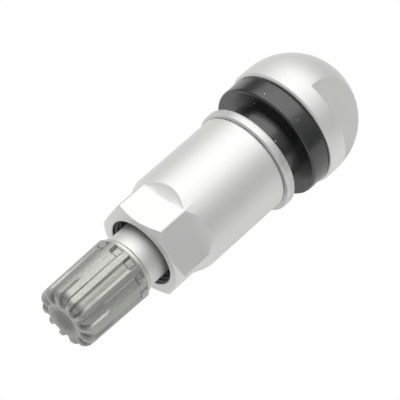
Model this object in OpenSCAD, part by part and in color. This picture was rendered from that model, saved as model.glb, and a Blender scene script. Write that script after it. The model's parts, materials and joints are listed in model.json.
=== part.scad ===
// Clamp-in tyre valve: a domed stem, a rubber rim grommet, a washer, a sleeve nut,
// a fluted dust cap and the valve core inside. The axis lies along X with the cap at +X.
// The origin is on the axis, in the face of the grommet that seats on the rim.

/* [Grommet] */
// Diameter of the boss that fills the rim hole
boss_d = 11.0; // [10.4:0.1:12]
// Length of the boss
boss_len = 2.75; // [2:0.05:5]
// Diameter of the sealing flange
flange_d = 16.25; // [14:0.05:17]
// Thickness of the sealing flange
flange_t = 3.05; // [2:0.05:5]
// Rounding of the rubber edges
rubber_round = 0.35; // [0.1:0.05:0.8]

/* [Head] */
// Diameter of the domed head
head_d = 17.0; // [15:0.1:20]
// Length of the straight rim in front of the dome
head_rim_len = 2.15; // [1:0.05:4]
// Chamfer on the front edge of the rim
head_chamfer = 0.25; // [0.1:0.05:0.6]
// Width across the two milled flats at their shoulders
head_af = 12.6; // [10:0.1:14]
// Slope of the flats towards the axis at the end of the dome, in degrees
flat_taper = 5; // [0:0.5:10]
// Length of dome left round between the rim and the flats
flat_setback = 0.55; // [0.3:0.05:3]
// Direction that one flat faces, in degrees from up towards +Y
flat_turn = 58.5; // [0:0.5:180]
// Diameter of the hole for the sensor screw
screw_hole_d = 3.3; // [2.8:0.1:4.2]
// Depth of the sensor screw hole
screw_hole_len = 6.5; // [4:0.1:8]
// Countersink at the mouth of the screw hole
screw_sink = 0.4; // [0.2:0.05:0.8]

/* [Stem] */
// Length of the stem from the rim seat to its tip
stem_len = 34.5; // [32:0.1:45]
// Diameter under the grommet
root_d = 8.4; // [7.6:0.1:9]
// Diameter of the thread for the nut
nut_thread_d = 9.5; // [9.3:0.05:10]
// Length of the thread for the nut
nut_thread_len = 17.2; // [15:0.1:18]
// Diameter of the plain neck
neck_d = 7.6; // [7.4:0.05:8]
// Diameter of the thread for the cap
cap_thread_d = 7.25; // [7:0.05:7.4]
// Chamfer where a thread starts
thread_chamfer = 0.4; // [0.2:0.05:0.6]
// Diameter of the air passage
air_d = 2.4; // [1.6:0.1:2.6]

/* [Washer] */
// Outer diameter of the washer
washer_d = 14.9; // [12:0.1:17]
// Bore of the washer
washer_bore = 10.2; // [10:0.05:10.8]
// Thickness of the washer
washer_t = 1.3; // [0.8:0.05:2.5]
// Edge break of the washer
washer_chamfer = 0.12; // [0.05:0.01:0.3]

/* [Sleeve nut] */
// Length of the nut
nut_len = 19.05; // [16:0.05:22]
// Diameter of the sleeve
sleeve_d = 13.7; // [13:0.05:15]
// Width across the flats of the hexagon
hex_af = 12.0; // [11:0.1:13]
// Length of the flats of the hexagon
hex_len = 5.0; // [4:0.1:9]
// Slope on which the flats run out into the sleeve, in degrees
hex_slope = 35; // [20:1:80]
// Direction of one corner, in degrees from up towards +Y
hex_turn = 24; // [0:1:60]
// Angle of the lead chamfer on the hexagon, from its end face
hex_chamfer_angle = 33; // [10:1:40]
// Width of the end face lost inside the flats to the lead chamfer
hex_face_inset = 0.1; // [0.05:0.05:0.4]
// Edge chamfer at the washer end
sleeve_chamfer = 0.25; // [0.1:0.05:0.5]
// Diameter of the plain relief inside the washer end
relief_d = 10.8; // [10.4:0.1:11.5]
// Depth of the plain relief
relief_len = 5.0; // [2:0.1:7]
// Countersink at the mouth of the bore
nut_sink = 0.12; // [0.05:0.01:0.2]

/* [Cap] */
// Overall length of the cap
cap_len = 11.0; // [10.5:0.1:13]
// Diameter over the lands at the open end
cap_d = 9.0; // [8.9:0.05:9.3]
// Diameter over the lands at the closed end
cap_end_d = 8.7; // [8.6:0.05:9]
// Rounding of the closed end
end_round = 1.1; // [0.7:0.05:1.4]
// Diameter of the plain collar at the open end
cap_collar_d = 8.3; // [8.1:0.05:8.6]
// Length of the collar
collar_len = 0.75; // [0.5:0.05:1.2]
// Rounding of the collar
collar_round = 0.4; // [0.2:0.05:0.45]
// Number of grooves
groove_count = 12; // [8:1:14]
// Width of a groove
groove_w = 1.2; // [0.7:0.05:1.3]
// Depth of a groove
groove_depth = 0.2; // [0.12:0.01:0.3]
// Direction of the first groove, in degrees from up towards +Y
groove_turn = 27.5; // [0:0.5:30]
// Length of the pocket at the collar end of a groove
pocket_len = 1.15; // [0.4:0.05:1.5]
// Depth of the pocket below the groove
pocket_depth = 0.3; // [0.1:0.01:0.35]
// Depth of the notches in which the grooves end on the closed end
notch_depth = 0.45; // [0.3:0.05:0.6]
// Rounding of the floor of a notch
notch_round = 1.2; // [1:0.05:1.5]
// Radius where the notches stop on the closed end
notch_r = 2.6; // [2.4:0.05:3]
// Diameter of the dished centre
dish_d = 4.6; // [3:0.1:5]
// Depth of the dished centre
dish_depth = 0.4; // [0.1:0.05:0.5]
// Thickness of the closed end
cap_wall = 1.1; // [0.9:0.05:2]
// Thickness of the sealing disc in the cap
cap_seal_t = 1.0; // [0.5:0.05:1.5]

/* [Valve core] */
// Diameter of the core plug thread
plug_d = 5.2; // [4.8:0.05:5.3]
// Length of the core plug
plug_len = 5.0; // [4:0.1:6]
// Depth of the plug below the stem tip
plug_recess = 0.4; // [0.2:0.05:1]
// Length of the tongue for the core key
tongue_len = 1.8; // [1:0.1:2.5]
// Width of the tongue
tongue_w = 3.2; // [2.8:0.1:4]
// Bore of the plug
plug_bore = 2.2; // [2:0.05:2.4]
// Diameter of the chamber in the stem
chamber_d = 4.2; // [4.1:0.05:4.5]
// Length of the chamber
chamber_len = 9.0; // [8:0.1:11]
// Length of the conical seat for the gasket
seat_len = 1.3; // [0.8:0.05:2]
// Straight length of the gasket in front of its cone
gasket_lead = 0.6; // [0.3:0.05:1]
// Diameter of the barrel
barrel_d = 3.6; // [3.3:0.05:3.8]
// Length of the barrel
barrel_len = 7.0; // [6:0.1:8]
// Bore of the barrel
barrel_bore = 2.0; // [1.9:0.05:2.2]
// Thickness of the barrel floor
barrel_floor = 0.8; // [0.5:0.05:1.2]
// Diameter of the hole in the barrel floor
floor_hole = 1.5; // [1.4:0.05:1.6]
// Diameter of the pin
pin_d = 1.1; // [0.9:0.05:1.2]
// Depth of the pin below the stem tip
pin_recess = 0.12; // [0.05:0.01:0.3]
// Diameter of the spring collar on the pin
collar_d = 1.8; // [1.7:0.02:1.84]
// Thickness of the spring collar
collar_t = 0.4; // [0.2:0.05:0.6]
// Drop of the spring collar below the plug
collar_drop = 0.3; // [0.1:0.05:0.6]
// Wire diameter of the spring
wire_d = 0.26; // [0.2:0.01:0.28]
// Number of coils in the spring
coils = 8; // [5:1:10]
// Diameter of the plunger cup
cup_d = 3.8; // [3.6:0.05:3.9]
// Wall of the plunger cup
cup_wall = 0.25; // [0.15:0.01:0.35]
// Thickness of the plunger cup's floor
cup_floor = 0.7; // [0.4:0.05:1]
// Depth of the seal inside the cup
cup_depth = 0.5; // [0.3:0.05:0.7]
// Thickness of the plunger seal
plunger_seal_t = 0.9; // [0.75:0.05:1.2]
// Diameter of the riveted end of the pin
rivet_d = 1.6; // [1.3:0.05:2]
// Height of the riveted end of the pin
rivet_t = 0.3; // [0.2:0.05:0.5]

/* [Fits] */
// Radial clearance of the threads, which are left plain
thread_gap = 0.05; // [0.02:0.01:0.08]
// Clearance between faces that bear on each other
contact_gap = 0.02; // [0.01:0.01:0.05]
// Clearance between the neck shoulder and the cap
mouth_gap = 0.1; // [0.05:0.01:0.3]

/* [Hidden] */
$fn = 96;
// Overshoot of a cutter past the surface that it opens
past = 1;

// Head, from the rim seat towards -X
head_face = -flange_t - contact_gap;
dome_start = head_face - head_rim_len;
head_apex = dome_start - head_d / 2;
flat_start = dome_start - flat_setback;

// Clamping stack, from the rim seat towards +X
thread_start = boss_len + contact_gap;
thread_end = thread_start + nut_thread_len;
washer_start = boss_len + contact_gap;
washer_end = washer_start + washer_t;
nut_start = washer_end + contact_gap;
nut_end = nut_start + nut_len;
hex_start = nut_end - hex_len;
nut_bore = nut_thread_d + 2 * thread_gap;
washer_drop = (washer_bore - nut_thread_d) / 2 - thread_gap;

// Cap, closed on the stem tip by its sealing disc
cap_seal_start = stem_len + contact_gap;
cap_seal_end = cap_seal_start + cap_seal_t;
cap_bore_end = cap_seal_end + contact_gap;
cap_end = cap_bore_end + cap_wall;
cap_start = cap_end - cap_len;
cap_bore = cap_thread_d + 2 * thread_gap;
land_start = cap_start + collar_len;
neck_end = cap_start - mouth_gap;

// Core, from the stem tip towards the head
plug_start = stem_len - plug_recess;
plug_end = plug_start - plug_len;
seat_start = plug_end - gasket_lead;
seat_end = seat_start - seat_len;
chamber_end = seat_end - chamber_len;
barrel_end = plug_end - barrel_len;
spring_seat = barrel_end + barrel_floor;
collar_start = plug_end - collar_drop;
collar_end = collar_start - collar_t;
plunger_top = barrel_end - contact_gap;
cup_seat = plunger_top - plunger_seal_t;
cup_end = cup_seat - cup_floor;
rivet_end = cup_end - contact_gap;
core_bore = plug_d + 2 * thread_gap;

// Lays a shape that stands along Z down along X
module along_x() rotate([0, 90, 0]) children();

// Turns a shape that points up round the axis, towards +Y
module from_up(angle) rotate([-angle, 0, 0]) children();

// Round bar between two places on the axis, or a cone where the end diameter is given
module bar(from, to, d, d_end) {
    low = min(from, to);
    high = max(from, to);
    d_to = is_undef(d_end) ? d : d_end;
    along_x() translate([0, 0, low])
        cylinder(h = high - low, d1 = from < to ? d : d_to, d2 = from < to ? d_to : d);
}

// Solid turned from a flat outline of radius against place on the axis
module turned() along_x() rotate_extrude() children();

// Waste outside a quarter round at the corner (r, x); side is 1 at the high end and -1 at the low end
module corner_cut(r, x, radius, side) {
    translate([r - radius, x - side * radius]) difference() {
        translate([0, side > 0 ? 0 : -radius - past]) square(radius + past);
        circle(r = radius);
    }
}

// Straight sided disc outline with both outer corners rounded
module rounded_band(from, to, d, radius) {
    difference() {
        translate([0, from]) square([d / 2, to - from]);
        corner_cut(d / 2, to, radius, 1);
        corner_cut(d / 2, from, radius, -1);
    }
}

// Outline of the domed head, from its apex to the face behind the grommet
module head_outline() {
    r = head_d / 2;
    intersection() {
        translate([0, dome_start]) circle(r = r);
        translate([0, head_apex - past]) square([r + past, r + past]);
    }
    polygon([[0, dome_start], [r, dome_start], [r, head_face - head_chamfer], [r - head_chamfer, head_face],
             [0, head_face]]);
}

// Outline of the shank, from the head to the tip, with a chamfer at the start of each thread
module shank_outline() {
    nut_r = nut_thread_d / 2;
    cap_r = cap_thread_d / 2;
    polygon([[0, head_face], [root_d / 2, head_face], [root_d / 2, thread_start], [nut_r, thread_start],
             [nut_r, thread_end - thread_chamfer], [nut_r - thread_chamfer, thread_end],
             [neck_d / 2, thread_end], [neck_d / 2, neck_end], [cap_r, neck_end],
             [cap_r, stem_len - thread_chamfer], [cap_r - thread_chamfer, stem_len], [0, stem_len]]);
}

// Slab that is wide along Y, from a flat outline of height against place on the axis
module slab(width) translate([0, width / 2, 0]) rotate([90, 0, 0]) linear_extrude(width) children();

// Waste beside the two flats milled on the head
module head_flats() {
    run = flat_start - head_apex + past;
    for (side = [0, 180]) from_up(flat_turn + side)
        translate([flat_start, 0, head_af / 2]) slab(head_d)
            polygon([[0, 0], [0, head_d], [-run, head_d], [-run, -run * tan(flat_taper)]]);
}

// Air passage, core seat and sensor screw hole, right through the stem
module stem_bore() {
    bar(head_apex - past, head_apex + screw_hole_len, screw_hole_d);
    bar(head_apex, head_apex + screw_sink, screw_hole_d + 2 * screw_sink, screw_hole_d);
    bar(head_apex, chamber_end, air_d);
    bar(chamber_end, seat_end, chamber_d);
    bar(seat_end, seat_start, chamber_d, core_bore);
    bar(seat_start, stem_len + past, core_bore);
}

module valve_stem() {
    color("silver") difference() {
        turned() {
            head_outline();
            shank_outline();
        }
        head_flats();
        stem_bore();
    }
}

module rim_grommet() {
    color("#26282a") difference() {
        turned() {
            rounded_band(-flange_t, 0, flange_d, rubber_round);
            difference() {
                translate([0, -rubber_round]) square([boss_d / 2, boss_len + rubber_round]);
                corner_cut(boss_d / 2, boss_len, rubber_round, 1);
            }
        }
        bar(-flange_t - past, boss_len + past, root_d + 2 * contact_gap);
    }
}

module clamp_washer() {
    color("gainsboro") translate([0, 0, -washer_drop]) difference() {
        union() {
            bar(washer_start, washer_start + washer_chamfer, washer_d - 2 * washer_chamfer, washer_d);
            bar(washer_start + washer_chamfer, washer_end - washer_chamfer, washer_d);
            bar(washer_end - washer_chamfer, washer_end, washer_d, washer_d - 2 * washer_chamfer);
        }
        bar(washer_start - past, washer_end + past, washer_bore);
    }
}

// Outline of the nut, with its edge chamfer and the lead chamfer of the hexagon
module nut_outline() {
    r = sleeve_d / 2;
    tip_r = hex_af / 2 - hex_face_inset;
    lead = (r - tip_r) * tan(hex_chamfer_angle);
    polygon([[0, nut_start], [r - sleeve_chamfer, nut_start], [r, nut_start + sleeve_chamfer],
             [r, nut_end - lead], [tip_r, nut_end], [0, nut_end]]);
}

// Waste beside the flats of the hexagon, which run out on slopes into the sleeve
module hexagon_waste() {
    rise = sleeve_d - hex_af + past;
    for (i = [0 : 5]) from_up(hex_turn + 30 + i * 60)
        translate([hex_start, 0, hex_af / 2]) slab(sleeve_d)
            polygon([[0, 0], [hex_len + past, 0], [hex_len + past, rise], [-rise / tan(hex_slope), rise]]);
}

module sleeve_nut() {
    color("lightgray") difference() {
        turned() nut_outline();
        hexagon_waste();
        bar(nut_start - past, nut_end + past, nut_bore);
        bar(nut_start - past, nut_start + relief_len, relief_d);
        bar(nut_end - nut_sink, nut_end, nut_bore, nut_bore + 2 * nut_sink);
    }
}

// Outline of the cap from the collar to its rounded closed end, taken in at the side and at the end
module cap_outline(side_inset, end_inset, radius) {
    r_open = cap_d / 2 - side_inset;
    r_closed = cap_end_d / 2 - side_inset;
    top = cap_end - end_inset;
    difference() {
        polygon([[0, land_start], [r_open, land_start], [r_closed, top - radius], [r_closed, top], [0, top]]);
        corner_cut(r_closed, top, radius, 1);
    }
}

// Repeats a shape that points up at every groove
module each_groove() {
    for (i = [0 : groove_count - 1]) from_up(groove_turn + i * 360 / groove_count) children();
}

// Ribs of the cap, with the grooves cut through to the closed end
module cap_lands() {
    difference() {
        turned() cap_outline(0, 0, end_round);
        each_groove() translate([land_start - past, -groove_w / 2, notch_r])
            cube([cap_len + past, groove_w, cap_d]);
    }
}

// Body of the cap at the depth of the grooves and the notches, with its collar
module cap_body() {
    turned() {
        cap_outline(groove_depth, notch_depth, notch_round);
        difference() {
            translate([0, cap_start]) square([cap_collar_d / 2, collar_len + pocket_len]);
            corner_cut(cap_collar_d / 2, cap_start, collar_round, -1);
        }
    }
}

module cap_shell() {
    pocket_r = cap_d / 2 - groove_depth - pocket_depth;
    dish_r = (pow(dish_d / 2, 2) + pow(dish_depth, 2)) / (2 * dish_depth);
    color("#8f9188") difference() {
        union() {
            cap_body();
            cap_lands();
        }
        each_groove() translate([land_start, -groove_w / 2, pocket_r]) cube([pocket_len, groove_w, cap_d]);
        translate([cap_end - dish_depth + dish_r, 0, 0]) sphere(r = dish_r);
        bar(cap_start - past, cap_bore_end, cap_bore);
    }
}

module cap_seal() {
    color("#303030") bar(cap_seal_start, cap_seal_end, cap_bore - 2 * thread_gap);
}

module core_plug() {
    color("goldenrod") difference() {
        bar(plug_end, plug_start, plug_d);
        bar(plug_end - past, plug_start + past, plug_bore);
        for (side = [0, 180]) from_up(side)
            translate([plug_start - tongue_len, -plug_d / 2, tongue_w / 2])
                cube([tongue_len + past, plug_d, plug_d]);
    }
}

module core_barrel() {
    color("darkgoldenrod") difference() {
        bar(barrel_end, plug_end - contact_gap, barrel_d);
        bar(spring_seat, plug_end + past, barrel_bore);
        bar(barrel_end - past, spring_seat + past, floor_hole);
    }
}

module core_gasket() {
    straight_d = core_bore - 2 * contact_gap;
    tip_d = chamber_d - 2 * contact_gap;
    color("white") difference() {
        union() {
            bar(seat_start, plug_end - contact_gap, straight_d);
            bar(seat_end, seat_start, tip_d, straight_d);
        }
        bar(seat_end - past, plug_end + past, barrel_d + 2 * contact_gap);
    }
}

module core_pin() {
    color("lightsteelblue") {
        bar(rivet_end, stem_len - pin_recess, pin_d);
        bar(collar_end, collar_start, collar_d);
        bar(rivet_end - rivet_t, rivet_end, rivet_d);
    }
}

// Centre and radial direction of the spring wire after some turns
function wire_centre(turn, low, pitch, r) = [low + pitch * turn, -r * sin(360 * turn), r * cos(360 * turn)];
function wire_out(turn) = [0, -sin(360 * turn), cos(360 * turn)];

module core_spring() {
    steps_per_turn = 14;
    sides = 8;
    rings = coils * steps_per_turn;
    low = spring_seat + contact_gap + wire_d / 2;
    high = collar_end - contact_gap - wire_d / 2;
    pitch = (high - low) / coils;
    coil_r = (pin_d + barrel_bore) / 4;
    points = [for (i = [0 : rings], k = [0 : sides - 1])
        wire_centre(i / steps_per_turn, low, pitch, coil_r)
        + wire_d / 2 * (cos(360 * k / sides) * wire_out(i / steps_per_turn) + [sin(360 * k / sides), 0, 0])];
    walls = [for (i = [0 : rings - 1], k = [0 : sides - 1])
        let (next = (k + 1) % sides)
        [i * sides + k, i * sides + next, (i + 1) * sides + next, (i + 1) * sides + k]];
    first = [[for (k = [sides - 1 : -1 : 0]) k]];
    last = [[for (k = [0 : sides - 1]) rings * sides + k]];
    color("steelblue") polyhedron(points = points, faces = concat(first, walls, last));
}

module plunger_cup() {
    color("goldenrod") difference() {
        bar(cup_end, cup_seat + cup_depth, cup_d);
        bar(cup_seat, cup_seat + cup_depth + past, cup_d - 2 * cup_wall);
        bar(cup_end - past, cup_seat + past, pin_d + 2 * contact_gap);
    }
}

module plunger_seal() {
    color("#202020") difference() {
        bar(cup_seat + contact_gap, plunger_top, cup_d - 2 * cup_wall - 2 * contact_gap);
        bar(cup_seat - past, plunger_top + past, pin_d + 2 * contact_gap);
    }
}

valve_stem();
rim_grommet();
clamp_washer();
sleeve_nut();
cap_shell();
cap_seal();
core_plug();
core_barrel();
core_gasket();
core_pin();
core_spring();
plunger_cup();
plunger_seal();
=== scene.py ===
import json
import math

import bmesh
import bpy
from bpy.props import FloatProperty, FloatVectorProperty, IntProperty, PointerProperty
from mathutils import Matrix, Vector


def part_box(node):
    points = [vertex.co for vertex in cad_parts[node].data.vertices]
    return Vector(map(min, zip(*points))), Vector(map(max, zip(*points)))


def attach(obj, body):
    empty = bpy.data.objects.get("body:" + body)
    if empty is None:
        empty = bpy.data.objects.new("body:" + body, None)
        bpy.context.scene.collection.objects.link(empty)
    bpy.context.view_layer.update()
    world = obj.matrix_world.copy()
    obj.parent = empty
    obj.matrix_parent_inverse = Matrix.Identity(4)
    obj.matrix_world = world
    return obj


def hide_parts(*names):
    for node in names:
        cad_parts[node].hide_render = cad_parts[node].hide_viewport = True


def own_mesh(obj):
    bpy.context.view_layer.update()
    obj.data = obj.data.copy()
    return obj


bl_info = {
    "name": "Clamp-in tyre valve",
    "version": (1, 0, 0),
    "blender": (4, 5, 0),
    "location": "View3D > Sidebar > Tyre valve",
    "description": "Dresses a clamp-in tyre valve in satin aluminium, black rubber and grey plastic",
    "category": "Object",
}

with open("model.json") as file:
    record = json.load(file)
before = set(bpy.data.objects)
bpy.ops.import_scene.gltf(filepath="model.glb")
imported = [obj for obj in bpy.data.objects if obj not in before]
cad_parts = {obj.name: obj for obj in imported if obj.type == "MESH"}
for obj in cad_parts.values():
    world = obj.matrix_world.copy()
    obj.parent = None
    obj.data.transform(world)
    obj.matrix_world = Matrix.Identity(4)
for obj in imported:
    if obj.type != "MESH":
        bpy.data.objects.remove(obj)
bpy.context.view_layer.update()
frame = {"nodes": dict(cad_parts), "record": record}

MM = 0.001
TURN = 2 * math.pi
# Gap between pieces that rest on each other
CONTACT_GAP = 0.02 * MM
# Vertices of neighbouring sectors that lie closer than this are one
JOIN_GAP = 0.001 * MM
# Largest share of an edge that the rounding of one of its corners may take
ROUND_SHARE = 0.45
# Edges that fold by more than this stay sharp
SHARP_ANGLE = math.radians(38)
# Widths of a thread's ridge at its foot and at its crest, as shares of the pitch
THREAD_FOOT = 0.8
THREAD_CREST = 0.16
# Turns over which a thread runs out at each end
THREAD_RUN_OUT = 0.6
# Share of the ridge that is left at the very end of a thread
THREAD_STUB = 0.02
# Share of the pitch by which a thread in a bore lies past the thread that runs in it
BORE_OFFSET = 0.5
# Points in each turn of a thread and of the spring
THREAD_STEPS = 64
SPRING_STEPS = 48
# Sides of the spring's wire
WIRE_SIDES = 10
# Nearest distance that the camera shows
NEAR_CLIP = 10 * MM
# Flats of the head and sides of the hexagon
HEAD_FLATS = 2
HEX_SIDES = 6
WHITE = (1, 1, 1, 1)


def lie_along_x(node):
    """Start, end and radius of a turned CAD node, whose axis lies along X."""
    low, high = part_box(node)
    return low.x, high.x, (high.y - low.y) / 2


STEM_START, STEM_TIP, HEAD_R = lie_along_x("valve_stem")
FLANGE_BACK, BOSS_END, FLANGE_R = lie_along_x("rim_grommet")
WASHER_START, WASHER_END, WASHER_R = lie_along_x("clamp_washer")
NUT_START, NUT_END, SLEEVE_R = lie_along_x("sleeve_nut")
CAP_START, CAP_END, CAP_R = lie_along_x("cap_shell")
WASHER_DROP = -(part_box("clamp_washer")[0].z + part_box("clamp_washer")[1].z) / 2
PIN_TRAVEL = next(joint["range_m"][1] for joint in frame["record"]["behaviour"]["joints"]
                  if joint["name"] == "pin_press")


# Properties

def length(name, description, millimetres):
    """A size in metres, written in millimetres."""
    return FloatProperty(name=name, description=description, default=millimetres * MM, unit="LENGTH",
                         precision=5)


def angle(name, description, degrees):
    """An angle in radians, written in degrees."""
    return FloatProperty(name=name, description=description, default=math.radians(degrees), subtype="ANGLE")


def fraction(name, description, value):
    """A value from 0 to 1."""
    return FloatProperty(name=name, description=description, default=value, min=0, max=1, subtype="FACTOR")


def colour(name, description, *rgb):
    """A linear colour."""
    return FloatVectorProperty(name=name, description=description, default=(*rgb, 1.0), size=4, min=0, max=1,
                               subtype="COLOR")


class StemSettings(bpy.types.PropertyGroup):
    """Sizes of the domed stem"""
    rim_length: length("Rim length", "Straight rim in front of the dome", 2.15)
    front_chamfer: length("Front chamfer", "Chamfer on the front edge of the rim", 0.25)
    front_round: length("Front round", "Rounding of the front chamfer and of the core bore's mouth", 0.08)
    flat_width: length("Flat width", "Width across the two milled flats at their shoulders", 12.6)
    flat_taper: angle("Flat taper", "Slope of the flats towards the axis at the end of the dome", 5)
    flat_setback: length("Flat setback", "Dome left round between the rim and the flats", 0.55)
    flat_turn: angle("Flat direction", "Direction that one flat faces, from up towards +Y", 58.5)
    edge_round: length("Edge round", "Rounding of the milled edges", 0.13)
    hole_width: length("Screw hole", "Diameter of the sensor screw hole", 3.3)
    hole_depth: length("Screw hole depth", "Depth of the sensor screw hole", 6.5)
    hole_sink: length("Screw hole sink", "Widening at the mouth of the screw hole", 0.3)
    root_width: length("Root", "Diameter under the grommet", 8.4)
    thread_width: length("Nut thread", "Diameter of the thread for the nut", 9.5)
    thread_length: length("Nut thread length", "Length of the thread for the nut", 17.2)
    thread_pitch: length("Nut thread pitch", "Pitch of the thread for the nut", 0.75)
    thread_run: length("Nut thread run", "Slope at each end of the thread for the nut", 0.2)
    thread_round: length("Nut thread round", "Rounding at the ends of the thread for the nut", 0.1)
    thread_depth: length("Thread depth", "Depth of both threads", 0.41)
    neck_width: length("Neck", "Diameter of the plain neck", 7.6)
    neck_round: length("Neck round", "Rounding of the end of the neck", 0.12)
    cap_thread_width: length("Cap thread", "Diameter of the thread for the cap", 7.25)
    cap_thread_pitch: length("Cap thread pitch", "Pitch of the thread for the cap", 0.79375)
    cap_thread_start: length("Cap thread start", "Start of the cap thread inside the cap", 0.6)
    cap_thread_inset: length("Cap thread inset", "Tip left plain past the cap thread", 0.5)
    tip_chamfer: length("Tip chamfer", "Chamfer of the tip", 0.25)
    tip_round: length("Tip round", "Rounding of the chamfer of the tip", 0.06)
    mouth_gap: length("Mouth gap", "Clearance between the neck and the cap", 0.1)
    core_width: length("Core bore", "Diameter of the bore that takes the valve core", 5.3)
    core_depth: length("Core bore depth", "Depth of the core bore below the tip", 6.0)
    seat_depth: length("Core seat", "Length of the conical seat of the core", 1.3)
    chamber_width: length("Chamber", "Diameter of the chamber below the core seat", 4.2)
    chamber_depth: length("Chamber depth", "Length of the chamber", 9.0)
    air_width: length("Air passage", "Diameter of the air passage", 2.4)


class GrommetSettings(bpy.types.PropertyGroup):
    """Sizes of the rubber grommet"""
    boss_width: length("Boss", "Diameter of the boss in the rim hole", 11.0)
    boss_taper: angle("Boss taper", "Slope of the boss towards the washer", 9)
    edge_round: length("Edge round", "Rounding of the rubber edges", 0.4)


class WasherSettings(bpy.types.PropertyGroup):
    """Sizes of the washer"""
    bore: length("Bore", "Bore of the washer", 10.2)
    chamfer: length("Chamfer", "Edge break of the washer", 0.16)
    edge_round: length("Edge round", "Rounding of the edges", 0.05)


class NutSettings(bpy.types.PropertyGroup):
    """Sizes of the sleeve nut"""
    hex_width: length("Hexagon", "Width across the flats", 12.0)
    hex_length: length("Flat length", "Length of the flats of the hexagon", 5.0)
    hex_slope: angle("Run-out slope", "Slope on which the flats run out into the sleeve", 35)
    hex_turn: angle("Corner direction", "Direction of one corner, from up towards +Y", 24)
    lead_angle: angle("Lead chamfer", "Angle of the lead chamfer from the end face", 33)
    tip_inset: length("Tip inset", "End face lost inside the flats to the lead chamfer", 0.1)
    tip_round: length("Tip round", "Rounding between the lead chamfer and the end face", 0.06)
    end_chamfer: length("End chamfer", "Chamfer at the washer end", 0.25)
    end_round: length("End round", "Rounding of the chamfer at the washer end", 0.07)
    edge_round: length("Edge round", "Rounding of the milled edges", 0.1)
    bore: length("Bore", "Bore of the nut at the root of its thread", 9.6)
    relief: length("Relief", "Diameter of the plain relief at the washer end", 10.8)
    relief_depth: length("Relief depth", "Depth of the plain relief", 5.0)
    mouth_sink: length("Mouth sink", "Countersink at the mouth of the bore", 0.12)
    mouth_round: length("Mouth round", "Rounding of the countersink", 0.04)
    thread_depth: length("Thread depth", "Depth of the thread in the bore", 0.24)
    thread_start: length("Thread start", "Start of the thread past the relief", 0.1)
    thread_inset: length("Thread inset", "Bore left plain between the thread and the end face", 0.2)


class CapSettings(bpy.types.PropertyGroup):
    """Sizes of the fluted cap"""
    end_width: length("Closed end", "Diameter over the lands at the closed end", 8.7)
    end_round: length("End round", "Rounding of the closed end", 1.1)
    collar_width: length("Collar", "Diameter of the plain collar at the open end", 8.3)
    collar_length: length("Collar length", "Length of the collar", 0.75)
    collar_round: length("Collar round", "Rounding of the collar", 0.4)
    line_width: length("Collar line", "Width of the line between the collar and the lands", 0.1)
    line_depth: length("Collar line depth", "Depth of the line between the collar and the lands", 0.06)
    line_round: length("Collar line round", "Rounding of the collar at the line", 0.05)
    grooves: IntProperty(name="Grooves", description="Number of grooves", default=12, min=6, max=16)
    groove_width: length("Groove width", "Width of a groove at half its depth", 1.2)
    groove_flare: length("Groove flare", "Width by which a groove opens from its floor to the lands", 0.28)
    groove_depth: length("Groove depth", "Depth of a groove", 0.2)
    groove_turn: angle("Groove direction", "Direction of the first groove, from up towards +Y", 27.5)
    land_round: length("Land round", "Rounding of the edges of a land", 0.05)
    knuckle_round: length("Knuckle round", "Rounding of the edges of a land on the closed end", 0.2)
    floor_round: length("Floor round", "Rounding of the corners of a groove", 0.04)
    pocket_length: length("Pocket length", "Length of the pocket at the collar end of a groove", 1.15)
    pocket_depth: length("Pocket depth", "Depth of the pocket below the groove", 0.3)
    # Width of the painted shade line along the brink of each pocket
    brink_shade_width: length("Dirt width", "Width of the dirt along the brink of a pocket", 0.15)
    notch_depth: length("Notch depth", "Depth of the notches in which the grooves end", 0.45)
    notch_round: length("Notch round", "Rounding of the floor of a notch", 1.2)
    notch_reach: length("Notch reach", "Radius where the notches fade out on the closed end", 2.5)
    dish_width: length("Dish", "Diameter of the dished centre", 5.0)
    dish_depth: length("Dish depth", "Depth of the dished centre", 0.55)
    wall: length("End wall", "Thickness of the closed end", 1.1)
    bore: length("Bore", "Bore of the cap at the root of its thread", 7.35)
    bore_round: length("Bore round", "Rounding of the bottom of the bore", 0.1)
    mouth_round: length("Mouth round", "Rounding of the mouth of the bore", 0.12)
    thread_depth: length("Thread depth", "Depth of the thread in the bore", 0.36)
    thread_start: length("Thread start", "Start of the thread past the mouth", 0.5)
    thread_inset: length("Thread inset", "End of the thread before the tip of the stem", 0.6)


class CoreSettings(bpy.types.PropertyGroup):
    """Sizes of the core's spring"""
    wire: length("Wire", "Diameter of the spring wire", 0.26)
    coils: IntProperty(name="Coils", description="Number of coils in the spring", default=8, min=3, max=16)


class FinishSettings(bpy.types.PropertyGroup):
    """Colours and roughness of the finishes"""
    aluminium: colour("Aluminium", "Blasted and anodised aluminium", 0.866, 0.87, 0.84)
    washer: colour("Washer", "Bare turned aluminium", 0.84, 0.84, 0.825)
    # Colour of the random worn patches on the washer's rim, and of the painted shade on its faces
    washer_stain_and_shade: colour("Washer stain", "Dull patches and faces of the washer", 0.42, 0.40, 0.36)
    rubber: colour("Rubber", "Black rubber", 0.006, 0.0065, 0.007)
    dust: colour("Dust", "Dust on the rubber", 0.75, 0.76, 0.76)
    cap: colour("Cap", "Grey plastic with a metal look", 0.458, 0.466, 0.432)
    brass: colour("Brass", "Turned brass", 0.78, 0.56, 0.26)
    steel: colour("Steel", "Pin and spring steel", 0.56, 0.57, 0.58)
    gasket: colour("Gasket", "White sealing plastic", 0.82, 0.81, 0.77)
    aluminium_roughness: fraction("Aluminium roughness", "Base roughness of the blasted aluminium", 0.55)
    washer_roughness: fraction("Washer roughness", "Base roughness of the washer", 0.44)
    rubber_roughness: fraction("Rubber roughness", "Base roughness of the rubber", 0.21)
    cap_roughness: fraction("Cap roughness", "Base roughness of the cap", 0.43)
    brass_roughness: fraction("Brass roughness", "Base roughness of the brass", 0.25)
    steel_roughness: fraction("Steel roughness", "Base roughness of the steel", 0.23)
    gasket_roughness: fraction("Gasket roughness", "Base roughness of the gasket", 0.45)


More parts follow.
